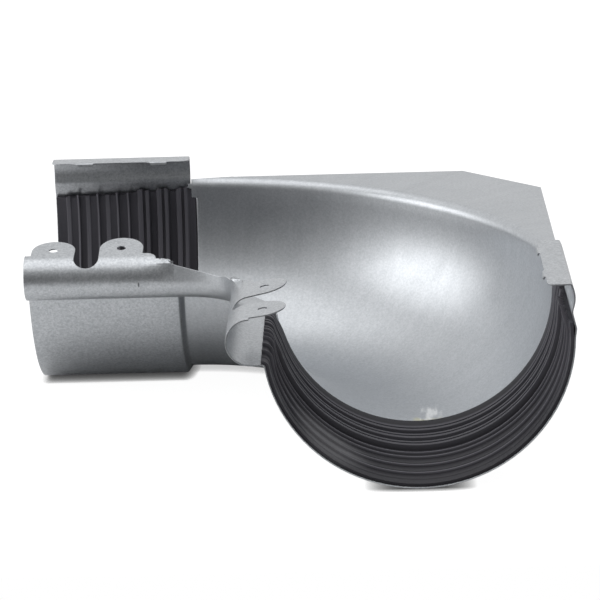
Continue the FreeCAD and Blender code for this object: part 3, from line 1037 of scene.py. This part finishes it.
    def shape_lip(self, mesh: BMesh) -> None:
        """Straighten the rolled lip past the socket and dip it along the bend.

        Args:
            mesh: mesh of the socket and half of the bend.
        """
        lip_run = self.bead_radius * math.radians(180 - self.lip_angle)
        bead_turn = self.bend_radius - self.bead_reach - self.bead_radius
        lip_length = self.joggle_length + bead_turn * HALF_BEND
        easing = self.lip_rolled - self.lip_straight
        for vert in mesh.verts:
            arm = vert.co - self.bend_centre
            turn = max(math.atan2(arm.y, arm.x), 0.0)
            reach = arm.to_2d().length if turn else arm.x
            across = reach - self.bend_radius + self.bead_reach
            before = -vert.co.y - self.socket_start
            if across > 0 or vert.co.z <= self.bead_height or before > self.lip_rolled:
                continue
            straight = (self.lip_rolled - max(before, self.lip_straight)) / easing
            straight *= straight * (3 - 2 * straight)
            past = max(min(-before, self.joggle_length) + bead_turn * turn, 0.0)
            share = min(past / lip_length, 1.0)
            run = self.bead_radius * math.atan2(vert.co.z - self.bead_height, -across)
            rise = run * (1 - self.lip_dip * share * (2 - share) / lip_run)
            across += (-self.bead_radius - across) * straight
            vert.co.z += (self.bead_height + rise - vert.co.z) * straight
            if turn:
                out = (across + self.bend_radius - self.bead_reach) / reach
                vert.co.xy = (self.bend_centre + arm * out).xy
            else:
                vert.co.x = across - self.bead_reach

    def pucker_lip(self, mesh: BMesh) -> None:
        """Pull up the small pucker that the press has left in the lip, beside the front socket.

        Args:
            mesh: mesh of the whole corner.
        """
        spot = Vector(self.pucker_spot)
        outward = (self.bend_centre - spot).to_2d().normalized()
        for vert in mesh.verts:
            share = math.exp(-(((vert.co - spot).length / self.pucker_reach) ** 2))
            if vert.co.z > self.bead_height and share > WELD:
                vert.co.z += self.pucker_rise * share
                vert.co.xy += outward * (self.pucker_lean * share)

    def fill_flange(self, mesh: BMesh) -> None:
        """Fill half of the flat flange, then trim it and the rim to the straight and cut edges.

        Args:
            mesh: mesh of half of the bend.
        """
        rim = [
            edge
            for edge in mesh.edges
            if edge.is_boundary
            and all(abs(vert.co.z - self.flange_under) < WELD for vert in edge.verts)
        ]
        verts = [vert for edge in rim for vert in edge.verts]
        first = min(verts, key=lambda vert: vert.co.y)
        last = max(verts, key=lambda vert: vert.co.y)
        corners = [(self.flange_far, -self.rim_end), (self.flange_far, self.flange_far)]
        beyond = [mesh.verts.new((x, y, self.flange_under)) for x, y in corners]
        edges = rim + [mesh.edges.new(pair) for pair in pairwise([first, *beyond, last])]
        bmesh.ops.triangle_fill(mesh, edges=edges, use_beauty=True, normal=UP)
        for spot, across in (
            ((self.flange_reach, 0, 0), (1, 0, 0)),
            ((self.flange_reach, self.flange_corner, 0), (1, 1, 0)),
        ):
            faces = [face for face in mesh.faces if face.calc_center_median().z > self.seam_height]
            faces = [face for face in faces if face.calc_center_median().x > -self.bowl_radius / 2]
            edges = dict.fromkeys(edge for face in faces for edge in face.edges)
            verts = dict.fromkeys(vert for face in faces for vert in face.verts)
            plane = {"plane_co": spot, "plane_no": across, "dist": CUT, "clear_outer": True}
            bmesh.ops.bisect_plane(mesh, geom=[*verts, *edges, *faces], **plane)

    def tear_rim(self, mesh: BMesh) -> None:
        """Draw the torn tongue of sheet that is left at the end of the rim, in front of the clip.

        Args:
            mesh: mesh of half of the bend.
        """
        end = [vert for vert in mesh.verts if abs(vert.co.y + self.rim_end) < WELD]
        rim = [vert for vert in end if vert.co.z > self.shoulder_height]
        torn = sorted(rim, key=lambda vert: vert.co.z)[: len(self.torn_edge)]
        edges = [edge for edge in mesh.edges if all(vert in torn for vert in edge.verts)]
        grown = bmesh.ops.extrude_edge_only(mesh, edges=edges)
        tips = sorted(swept(grown, BMVert), key=lambda vert: vert.co.z)
        for vert, length, push in zip(tips, self.torn_edge, self.torn_push):
            vert.co += Vector((-push, -length, 0.0))

    def press(self) -> BMesh:
        """Press the whole corner.

        Returns:
            The mesh of its outside, both arms in one sheet.
        """
        mesh = self.roll_socket()
        bend = bmesh.new()
        self.draw_joggle(bend)
        self.draw_rim(bend)
        bmesh.ops.remove_doubles(bend, verts=bend.verts[:], dist=WELD)
        self.draw_bend(bend)
        self.fill_flange(bend)
        self.tear_rim(bend)
        join(mesh, bend)
        self.shape_lip(mesh)
        half = bmesh.ops.duplicate(mesh, geom=[*mesh.verts, *mesh.edges, *mesh.faces])
        bmesh.ops.transform(mesh, matrix=MIRRORED, verts=swept(half, BMVert))
        bmesh.ops.reverse_faces(mesh, faces=swept(half, BMFace))
        bmesh.ops.remove_doubles(mesh, verts=mesh.verts[:], dist=WELD)
        self.pucker_lip(mesh)
        bmesh.ops.recalc_face_normals(mesh, faces=mesh.faces[:])
        lowest = min(mesh.faces, key=lambda face: face.calc_center_median().z)
        if lowest.normal.z > 0:
            bmesh.ops.reverse_faces(mesh, faces=mesh.faces[:])
        return mesh

    def build(self) -> Object:
        """Make the corner with its thickness and its cut edges, a small chamfer shaded round.

        Returns:
            The finished piece, without its finish.
        """
        piece = finish_piece(self.press(), "steel_corner", self.in_frame())
        wall = piece.modifiers.new("sheet thickness", "SOLIDIFY")
        wall.thickness = self.thickness * MM
        wall.offset = -1.0
        wall.use_even_offset = True
        edge = piece.modifiers.new("cut edges", "BEVEL")
        edge.width = self.edge_round * MM
        edge.segments = 1
        edge.use_clamp_overlap = False
        edge.loop_slide = False
        edge.limit_method = "ANGLE"
        edge.angle_limit = math.radians(self.edge_angle)
        edge.harden_normals = True
        return piece

    def dress(self, piece: Object, finish: GalvanisedSteel) -> None:
        """Give the sheet its finish and let it stand for the corner.

        Args:
            piece: the finished corner.
            finish: its steel.
        """
        piece.data.materials.append(finish.material())
        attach(piece, "root")
        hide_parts("corner_body")


@dataclass
class SocketSeal:
    """The ribbed rubber seal that lies in a socket: thin ribs, slotted lips and a flap.

    Places and spans are measured along the arm from the open end of the socket, and floors and
    tips are radii. Each wave of the cut end has its size, its pace along the arm and its lag.
    """

    outside: float = 65.2
    floor: float = 63.9
    outer_margin: float = 0.5
    inner_margin: float = 0.5
    step_gap: float = 0.1
    rear_rise: float = 6.4
    rear_lean: float = 0.2
    rear_wave: float = 0.45
    rear_waves: tuple[Wave, ...] = ((1.0, 0.55, 0.0), (0.7, 1.7, 1.0))
    rear_teeth: float = 1.4
    left_slant: float = 2.6
    tongue: float = 0.4
    rib_places: tuple[float, ...] = (11.6, 21.5, 31.3, 36.8)
    rib_tip: float = 62.8
    rib_tip_width: float = 0.6
    low_rib_places: tuple[float, ...] = (6.5, 16.3, 26.3)
    low_rib_tip: float = 63.65
    low_rib_tip_width: float = 1.6
    rib_slope: float = 0.5
    lip_spans: tuple[Point, ...] = ((41.9, 47.3), (51.5, 56.9), (61.4, 66.6))
    lip_tip: float = 61.4
    lip_crown: float = 0.35
    lip_slope: float = 0.7
    slot_margin: float = 2.2
    slot_width: float = 1.5
    slot_floor: float = 63.4
    slot_slope: float = 0.15
    flap_thickness: float = 0.8
    flap_length: float = 1.4
    left_flap_short: float = 2.7
    rear_rise_share: float = 1.6
    fold_rise_share: float = 0.4
    end_sink: float = 0.5
    end_turn: float = 7.0
    # The crests are painted pale as highlights: the width of that paint, the height above the floor
    # where it starts, its paleness on the lips and on the left seal's low ribs, and the least
    # paleness elsewhere.
    crest_width: float = 0.5
    crest_height: float = 0.15
    lip_highlight: float = 0.4
    left_low_highlight: float = 0.6
    least_highlight: float = 0.05
    rounding: float = 0.2
    rounding_cuts: int = 3
    round_steps: int = 56
    fold_steps: int = 8
    sharp_angle: float = 50.0

    def crests(self, sheet: CornerSheet, arm: Arm) -> list[Point]:
        """List the crests that are painted pale, as highlights.

        Args:
            sheet: the corner that holds the seal.
            arm: the arm of the seal; the low ribs get painted highlights on the left one only.

        Returns:
            The place along the arm and the paleness of each crest.
        """
        half = self.low_rib_tip_width / 2
        low = [place + side * half for place in self.low_rib_places for side in (-1, 1)]
        low_crest = self.left_low_highlight if arm is Arm.LEFT else 0.0
        crests = [(place, 1.0) for place in self.rib_places] + [(place, low_crest) for place in low]
        for start, stop in self.lip_spans:
            slot = start + self.slot_margin
            edges = (start, slot, slot + self.slot_width, stop)
            crests += [(place, self.lip_highlight) for place in edges]
        return [(sheet.open_end - place, pale) for place, pale in crests]

    def ribs(self, end: float) -> list[Bend]:
        """Draw the ribs.

        Args:
            end: distance of the socket's open end along the arm.

        Returns:
            Their corners, from the open end inwards.
        """
        low_half = self.low_rib_tip_width / 2
        ribs = [(place, self.rib_tip, self.rib_tip_width / 2) for place in self.rib_places]
        ribs += [(place, self.low_rib_tip, low_half) for place in self.low_rib_places]
        corners = []
        for place, tip, half in sorted(ribs):
            middle, foot = end - place, half + self.rib_slope
            corners += [
                (self.floor, middle + foot, self.rounding),
                (tip, middle + half, self.rounding),
                (tip, middle - half, self.rounding),
                (self.floor, middle - foot, self.rounding),
            ]
        return corners

    def lips(self, end: float) -> list[Bend]:
        """Draw the lips, each with a narrow slot.

        Args:
            end: distance of the socket's open end along the arm.

        Returns:
            Their corners, from the open end inwards.
        """
        corners = []
        crown = self.lip_slope * self.lip_crown / (self.floor - self.lip_tip)
        for start, stop in self.lip_spans:
            near, far = end - start, end - stop
            slot_near = near - self.slot_margin
            slot_far = slot_near - self.slot_width
            corners += [
                (self.floor, near + self.lip_slope, self.rounding),
                (self.lip_tip + self.lip_crown, near + crown, 0.0),
                (self.lip_tip, near, self.rounding),
                (self.lip_tip, slot_near, self.slot_slope),
                (self.slot_floor, slot_near - self.slot_slope, 0.0),
                (self.slot_floor, slot_far + self.slot_slope, 0.0),
                (self.lip_tip, slot_far, self.slot_slope),
                (self.lip_tip, far, self.rounding),
                (self.lip_tip + self.lip_crown, far - crown, 0.0),
                (self.floor, far - self.lip_slope, self.rounding),
            ]
        return corners[:-2]

    def section(self, sheet: CornerSheet, arm: Arm) -> list[Point]:
        """Draw the closed section of the seal as radius and distance along the arm.

        Args:
            sheet: the corner that holds the seal.
            arm: the arm of the seal, whose flap lies further in or out.

        Returns:
            The corners in order, the small bends among them.
        """
        end = sheet.open_end
        short = self.left_flap_short if arm is Arm.LEFT else 0.0
        flap_end = sheet.bend_radius - self.flap_length + short
        step_start = sheet.bend_radius + self.inner_margin
        beyond = max(flap_end - step_start, 0.0)
        level = sheet.bowl_radius - sheet.thickness - self.step_gap
        under = level + beyond * sheet.step_depth / sheet.joggle_length
        flap_top = under - self.flap_thickness
        corners = [
            (under, flap_end, 0.0),
            (under, max(step_start, flap_end + WELD), 0.0),
            (self.outside, sheet.socket_start + self.inner_margin, 0.0),
            (self.outside, end - self.outer_margin, 0.0),
            (self.floor, end - self.outer_margin, 0.0),
            *self.ribs(end),
            *self.lips(end),
            (flap_top, end - self.lip_spans[-1][1] - self.flap_thickness, 0.0),
            (flap_top, flap_end, 0.0),
        ]
        return rounded(corners, self.rounding_cuts)

    def draw_rear(self, mesh: BMesh, section: list[BMEdge], slant: float) -> None:
        """Carry the section up the rear wall to a wavy cut end, where the ribs stand like teeth.

        Args:
            mesh: mesh of the seal.
            section: edges of the section, level with the axis of the arm.
            slant: how much lower the cut is at the open end of the socket than at the bend.
        """
        shown = [vert.co.y for edge in section for vert in edge.verts]
        near, length = max(shown), max(shown) - min(shown)
        rear = bmesh.ops.extrude_edge_only(mesh, edges=section)
        verts = swept(rear, BMVert)
        bmesh.ops.translate(mesh, verts=verts, vec=(-self.rear_lean, 0.0, self.rear_rise))
        for vert in verts:
            along = vert.co.y
            wave = sum(size * math.sin(pace * along + lag) for size, pace, lag in self.rear_waves)
            tooth = (self.floor - self.rear_lean - vert.co.x) / (self.floor - self.rib_tip)
            tooth = min(max(tooth, 0.0), 1.0)
            lower = slant * (near - along) / length
            vert.co.z += self.rear_wave * wave + self.rear_teeth * tooth - lower
        bmesh.ops.edgeloop_fill(mesh, edges=far_edges(rear))

    def draw_tongue(
        self, mesh: BMesh, section: list[BMEdge], sheet: CornerSheet, turn: float
    ) -> None:
        """Carry the section over the fold to its cut end, where the ribs show like a comb.

        Args:
            mesh: mesh of the seal.
            section: edges of the section, at the fold.
            sheet: the corner that holds the seal.
            turn: angle from the rear wall round to the fold.
        """
        fold = sheet.fold(sheet.socket_radius)
        centre = (fold[0][0], 0.0, fold[0][1] - sheet.fold_radius)
        about = {"cent": centre, "axis": (0, -1, 0), "angle": turn - math.pi / 2}
        turned = bmesh.ops.spin(mesh, geom=section, steps=self.fold_steps, **about)
        front = bmesh.ops.extrude_edge_only(mesh, edges=swept(turned, BMEdge, "geom_last"))
        bmesh.ops.translate(mesh, verts=swept(front, BMVert), vec=(-self.tongue, 0.0, 0.0))
        bmesh.ops.edgeloop_fill(mesh, edges=far_edges(front))

    def shape_ends(self, mesh: BMesh, sheet: CornerSheet, turn: float) -> None:
        """Let the ribs stand higher and the lips sink at both ends, where the strip springs open.

        Args:
            mesh: mesh of the seal.
            sheet: the corner that holds the seal.
            turn: angle from the rear wall round to the fold.
        """
        last_rib = sheet.open_end - self.lip_spans[0][0] + self.lip_slope
        for vert in mesh.verts:
            straight = vert.co.z > WELD
            inward = Vector((vert.co.x, 0.0, 0.0 if straight else vert.co.z))
            rest = math.degrees(turn - math.atan2(-vert.co.z, vert.co.x))
            near = 1.0 if straight else max(1 - rest / self.end_turn, 0.0)
            height = self.floor - inward.length
            if near and height > 0:
                rise = self.rear_rise_share if straight else self.fold_rise_share
                rise = rise if -vert.co.y > last_rib else -self.end_sink
                vert.co -= inward.normalized() * (rise * near * height)

    def mark_crests(self, mesh: BMesh, sheet: CornerSheet, arm: Arm) -> None:
        """Mark how pale the section is painted: paler crests as painted highlights, a faint
        paleness over the rest of the ribbed face, and none on the flap or the outside.

        Args:
            mesh: mesh of the section.
            sheet: the corner that holds the seal.
            arm: the arm of the seal.
        """
        crest = mesh.verts.layers.float.new(CREST_HIGHLIGHT)
        flap = sheet.open_end - self.lip_spans[-1][1] - self.flap_thickness / 2
        crests = self.crests(sheet, arm)
        for vert in mesh.verts:
            along = -vert.co.y
            if along < flap or vert.co.x > self.floor + WELD:
                continue
            raised = vert.co.x < self.floor - self.crest_height
            pale = max(
                share * math.exp(-(((along - place) / self.crest_width) ** 2))
                for place, share in crests
            )
            vert[crest] = max(self.least_highlight, pale if raised else 0.0)

    def sweep(self, sheet: CornerSheet, arm: Arm) -> BMesh:
        """Sweep the seal of an arm, as it lies in the front socket, with its pale crests marked.

        Args:
            sheet: the corner that holds the seal.
            arm: the arm of the seal.

        Returns:
            The closed mesh of the seal.
        """
        mesh = bmesh.new()
        spots = [Vector((radius, -along, 0.0)) for radius, along in self.section(sheet, arm)]
        section = draw_chain(mesh, spots, closed=True)
        self.mark_crests(mesh, sheet, arm)
        self.draw_rear(mesh, section, self.left_slant if arm is Arm.LEFT else 0.0)
        fold = sheet.fold(sheet.socket_radius)
        turn = math.pi - math.atan2(-fold[-1][1], -fold[-1][0])
        about = {"cent": (0, 0, 0), "axis": (0, 1, 0), "angle": turn}
        turned = bmesh.ops.spin(mesh, geom=section, steps=self.round_steps, **about)
        self.shape_ends(mesh, sheet, turn)
        self.draw_tongue(mesh, swept(turned, BMEdge, "geom_last"), sheet, turn)
        bmesh.ops.remove_doubles(mesh, verts=mesh.verts[:], dist=CUT)
        return mesh

    def build(self, sheet: CornerSheet, arm: Arm) -> Object:
        """Make the seal of one arm.

        Args:
            sheet: the corner that holds the seal.
            arm: the arm of the seal.

        Returns:
            The finished piece, without its rubber.
        """
        mesh = self.sweep(sheet, arm)
        if arm is Arm.LEFT:
            bmesh.ops.transform(mesh, matrix=MIRRORED, verts=mesh.verts[:])
        bmesh.ops.recalc_face_normals(mesh, faces=mesh.faces[:])
        piece = finish_piece(mesh, f"rubber_{arm.value}", sheet.in_frame())
        piece.data.set_sharp_from_angle(angle=math.radians(self.sharp_angle))
        return piece

    def dress(self, piece: Object, material: Material, arm: Arm) -> None:
        """Give a seal its rubber and let it stand for its node.

        Args:
            piece: the finished seal.
            material: its rubber.
            arm: the arm of the seal.
        """
        piece.data.materials.append(material)
        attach(piece, "root")
        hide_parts(arm.value)


@dataclass(frozen=True)
class Lamp:
    """A soft rectangular lamp that faces the part.

    Angles are in degrees, with the azimuth clockwise from straight behind the part, and lengths are
    in metres. At a brightness of 1 its face is as bright as white paper looks.
    """

    name: str
    azimuth: float
    elevation: float
    distance: float
    size: Point
    brightness: float

    def hang(self) -> None:
        """Put the lamp into the scene."""
        around, up = math.radians(self.azimuth), math.radians(self.elevation)
        level = math.cos(up)
        toward = Vector((math.sin(around) * level, math.cos(around) * level, math.sin(up)))
        data = bpy.data.lights.new(self.name, "AREA")
        data.shape = "RECTANGLE"
        data.size, data.size_y = self.size
        data.energy = self.brightness * math.pi * self.size[0] * self.size[1]
        lamp = bpy.data.objects.new(self.name, data)
        lamp.location = toward * self.distance
        lamp.rotation_euler = toward.to_track_quat("Z", "Y").to_euler()
        bpy.context.scene.collection.objects.link(lamp)


@dataclass
class Studio:
    """A white table top with soft light: a lamp on the left, a large one overhead, a dim front.

    The eye and the reaches are in millimetres, the floor in metres and angles in degrees.
    """

    eye: Spot = (33.825, -1210.116, 414.079)
    yaw: float = -1.4583
    pitch: float = 16.8015
    roll: float = -1.8222
    focal_pixels: float = 2723.13
    image_pixels: float = 600.0
    floor_size: float = 12.0
    floor_front: float = 0.21
    floor_colour: str = "#e4e4e4"
    floor_seen: str = "#6f6f6f"
    floor_roughness: float = 0.9
    floor_glow: float = 0.97
    floor_gloss: float = 0.2
    gloss_reach: float = 30.0
    room_gloss: float = 0.05
    contact_reach: float = 4.3
    contact_depth: float = 2.6
    contact_lean: float = 62.0
    contact_samples: int = 12
    room_front: float = 0.14
    room_back: float = 0.93
    room_right: float = 0.1
    room_lean: float = 35.0
    depth_span: Point = (-0.8, 0.65)
    side_span: Point = (0.4, 0.92)
    lamps: tuple[Lamp, ...] = (
        Lamp(
            name="left_lamp",
            azimuth=-90.0,
            elevation=20.0,
            distance=1.3,
            size=(0.82, 0.76),
            brightness=2.5,
        ),
        Lamp(
            name="top_lamp",
            azimuth=-100.0,
            elevation=80.0,
            distance=1.4,
            size=(1.5, 1.4),
            brightness=0.9,
        ),
    )

    def set_camera(self) -> None:
        """Put the camera where the photograph was taken."""
        yaw, pitch, roll = (math.radians(angle) for angle in (self.yaw, self.pitch, self.roll))
        away = math.cos(pitch)
        forward = Vector((math.sin(yaw) * away, math.cos(yaw) * away, -math.sin(pitch)))
        level = Vector((math.cos(yaw), -math.sin(yaw), 0.0))
        upward = level.cross(forward)
        right = math.cos(roll) * level + math.sin(roll) * upward
        above = math.cos(roll) * upward - math.sin(roll) * level
        data = bpy.data.cameras.new("camera")
        data.lens = self.focal_pixels / self.image_pixels * data.sensor_width
        camera = bpy.data.objects.new("camera", data)
        turned = Matrix((right, above, -forward)).transposed().to_4x4()
        camera.matrix_world = Matrix.Translation(Vector(self.eye) * MM) @ turned
        bpy.context.scene.collection.objects.link(camera)
        bpy.context.scene.camera = camera

    def seen_ray(self, tree: NodeTree, gloss_share: float) -> NodeSocket:
        """Add nodes that tell rays to the camera from the others.

        Args:
            tree: tree that takes the nodes.
            gloss_share: value for rays that are seen in a gloss.

        Returns:
            A socket that is 1 for rays to the camera and that share for those in a gloss.
        """
        path = add_node(tree, "LightPath").node.outputs
        rays = {0: path["Is Glossy Ray"], 1: path["Is Transmission Ray"]}
        gloss = add_node(tree, "Math", rays, operation="MAXIMUM")
        seen = {0: gloss, 1: gloss_share, 2: path["Is Camera Ray"]}
        return add_node(tree, "Math", seen, operation="MULTIPLY_ADD")

    def set_world(self) -> None:
        """Make the room: white to the camera, bright behind, dim in front and on the right."""
        world = bpy.data.worlds.new("studio")
        world.use_nodes = True
        bpy.context.scene.world = world
        tree = world.node_tree
        place = add_node(tree, "TexCoord", output="Generated")
        lean = math.radians(self.room_lean)
        tilted = {0: place, 1: (0.0, math.cos(lean), math.sin(lean))}
        behind = add_node(tree, "VectorMath", tilted, "Value", operation="DOT_PRODUCT")
        across = add_node(tree, "SeparateXYZ", {"Vector": place}, "X")
        depth, side = (
            add_node(
                tree,
                "MapRange",
                {"Value": way, "From Min": low, "From Max": high, "To Min": first, "To Max": last},
                interpolation_type="SMOOTHSTEP",
            )
            for way, (low, high), first, last in (
                (behind, self.depth_span, self.room_front, self.room_back),
                (across, self.side_span, 1.0, self.room_right),
            )
        )
        room = add_node(tree, "Math", {0: depth, 1: side}, operation="MULTIPLY")
        mix = {"Factor": self.seen_ray(tree, self.room_gloss), "A": room, "B": 1.0}
        level = add_node(tree, "Mix", mix, data_type="FLOAT")
        connect(tree, tree.nodes["Background"], {"Color": WHITE, "Strength": level})

    def white_card(self) -> Material:
        """Make the floor's white card, which glows to the camera but for the part's shadow.

        Returns:
            The material, darkest where the part nearly touches it.
        """
        material, tree, shader = new_material("white_card")
        path = add_node(tree, "LightPath").node.outputs
        lean = math.radians(self.contact_lean)
        light_from = add_node(tree, "CombineXYZ", {"Y": math.sin(lean), "Z": math.cos(lean)})
        near, far = self.contact_reach * MM, self.gloss_reach * MM
        span = {"Value": path["Is Glossy Ray"], "To Min": near, "To Max": far}
        around = {"Distance": add_node(tree, "MapRange", span), "Normal": light_from}
        clear = add_node(tree, "AmbientOcclusion", around, "AO", samples=self.contact_samples)
        seen = self.seen_ray(tree, self.floor_gloss)
        glow = add_node(tree, "Math", {0: seen, 1: self.floor_glow}, operation="MULTIPLY")
        lit = add_node(tree, "Math", {0: clear, 1: self.contact_depth}, operation="POWER")
        to_camera = [(path["Is Camera Ray"], self.floor_seen)]
        inputs = {
            "Base Color": layer_colours(tree, self.floor_colour, to_camera),
            "Roughness": self.floor_roughness,
            "Specular IOR Level": 0.0,
            "Emission Color": WHITE,
            "Emission Strength": add_node(tree, "Math", {0: glow, 1: lit}, operation="MULTIPLY"),
        }
        connect(tree, shader, inputs)
        return material

    def lay_floor(self) -> None:
        """Lay a plain white floor that keeps the part's shadow."""
        mesh = bmesh.new()
        bmesh.ops.create_grid(mesh, x_segments=1, y_segments=1, size=self.floor_size / 2)
        middle = Matrix.Translation((0.0, self.floor_size / 2 - self.floor_front, 0.0))
        floor = finish_piece(mesh, "floor", middle)
        floor.data.materials.append(self.white_card())

    def build(self) -> None:
        """Set up the camera, the floor, the room and the lamps."""
        self.set_camera()
        self.lay_floor()
        self.set_world()
        for lamp in self.lamps:
            lamp.hang()
        bpy.context.scene.view_settings.view_transform = "Standard"


def main() -> None:
    """Build the studio, the steel corner and its two seals, in that order."""
    logging.basicConfig(level=logging.INFO, format="%(message)s")
    Studio().build()
    sheet = CornerSheet()
    corner = sheet.build()
    sheet.dress(corner, GalvanisedSteel())
    log.info("%s: %d faces before its thickness", corner.name, len(corner.data.polygons))
    seal = SocketSeal()
    rubber = SealRubber().material()
    for arm in Arm:
        piece = seal.build(sheet, arm)
        seal.dress(piece, rubber, arm)
        log.info("%s: %d faces", piece.name, len(piece.data.polygons))


if __name__ == "__main__":
    main()
